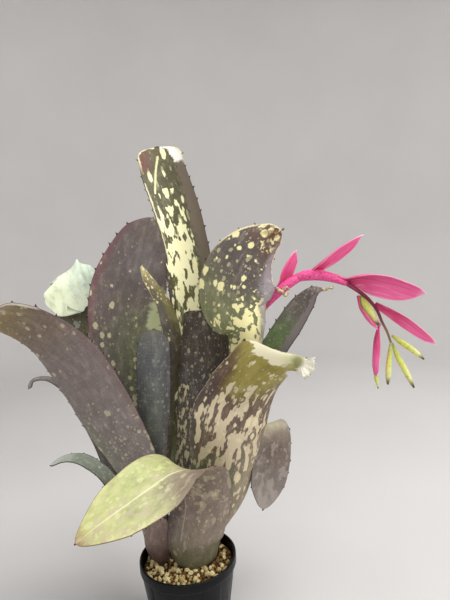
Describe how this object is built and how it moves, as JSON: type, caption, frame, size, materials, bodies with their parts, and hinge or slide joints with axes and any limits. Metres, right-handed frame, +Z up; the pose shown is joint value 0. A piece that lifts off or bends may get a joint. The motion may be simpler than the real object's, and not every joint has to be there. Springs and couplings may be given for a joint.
{
  "type": "potted billbergia plant",
  "caption": "Potted bromeliad with broad spotted toothed leaves, a smaller offset and an arching pink-bracted flower stalk in a round nursery pot of grit.",
  "frame": {"origin": "centre of the pot's foot ring, on the surface it stands on", "axes": "+Z up along the pot's axis; the front of the plant faces -Y and the flower stalk arches towards +X"},
  "size_m": [0.4076, 0.1802, 0.4705],
  "materials": {
    "pot_plastic": "smooth dark blue-black nursery-pot plastic, satin",
    "grit": "dry pumice and clay granules, cream and brown",
    "stem_wood": "short fibrous brown stem",
    "leaf_grey_purple": "scurfy leaf, grey-purple with fine pale cross bands and small cream spots",
    "leaf_dark": "dark brown-purple leaf with few cream spots",
    "leaf_olive": "olive to purple leaf with cream spots and blotches, toothed edge",
    "leaf_yellow_green": "yellow-green inner face, grey-brown outer face",
    "leaf_green": "green inner face and grey outer face with dark edge teeth",
    "leaf_mint": "pale mint leaf, light showing through",
    "leaf_dry": "dry brown leaf",
    "stalk": "smooth maroon to pink flower stalk",
    "bract": "waxy bright pink bract",
    "bud": "waxy yellow-green bud with a dark tip"
  },
  "bodies": {
    "root": {"pot": "pot_plastic", "soil": "grit", "stem_rosette": "stem_wood", "stem_offset": "stem_wood", "leaf_front_fold": "leaf_yellow_green", "leaf_spout": "leaf_olive", "leaf_dark": "leaf_dark", "leaf_spotted": "leaf_olive", "leaf_tall": "leaf_olive", "leaf_right": "leaf_green", "leaf_hanging": "leaf_grey_purple", "leaf_broad": "leaf_grey_purple", "leaf_left_arch": "leaf_grey_purple", "leaf_pale": "leaf_mint", "leaf_grey": "leaf_grey_purple", "leaf_curled": "leaf_olive", "leaf_low": "leaf_green", "leaf_dry_tip": "leaf_dry", "flower_stalk": "stalk", "bract_lowest": "bract", "bract_upper": "bract", "bract_long": "bract", "bract_cupped": "bract", "bract_end": "bract", "bract_hanging": "bract", "bud_first": "bud", "bud_right": "bud", "bud_middle": "bud", "bud_left": "bud"}
  },
  "joints": []
}
